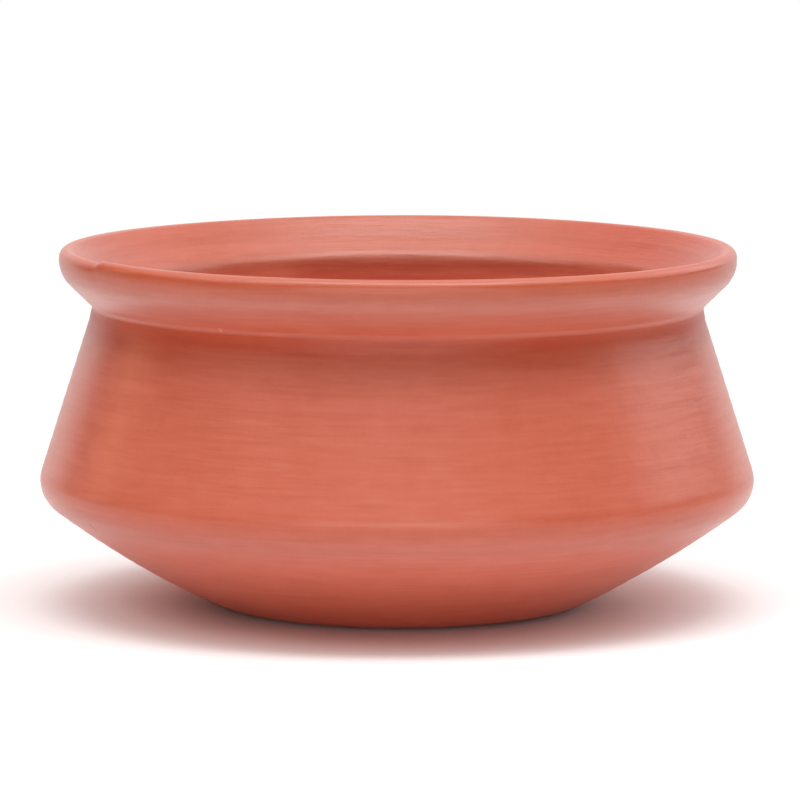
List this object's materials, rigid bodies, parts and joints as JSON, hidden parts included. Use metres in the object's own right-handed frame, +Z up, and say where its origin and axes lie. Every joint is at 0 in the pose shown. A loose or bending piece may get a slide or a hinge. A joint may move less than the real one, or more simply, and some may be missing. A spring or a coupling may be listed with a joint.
{
  "type": "handi pot",
  "caption": "Low unglazed clay cooking pot with a wide ridged belly, a pinched neck, a flared rounded rim and a small flat foot.",
  "frame": {"origin": "centre of the flat foot, on the plane that the pot stands on", "axes": "+Z up, along the axis that the pot was turned about; X and Y are alike"},
  "size_m": [0.24, 0.24, 0.121],
  "materials": {
    "clay": "unglazed red clay, burnished to a soft sheen, with fine turning lines"
  },
  "bodies": {
    "root": {"pot": "clay"}
  },
  "joints": []
}
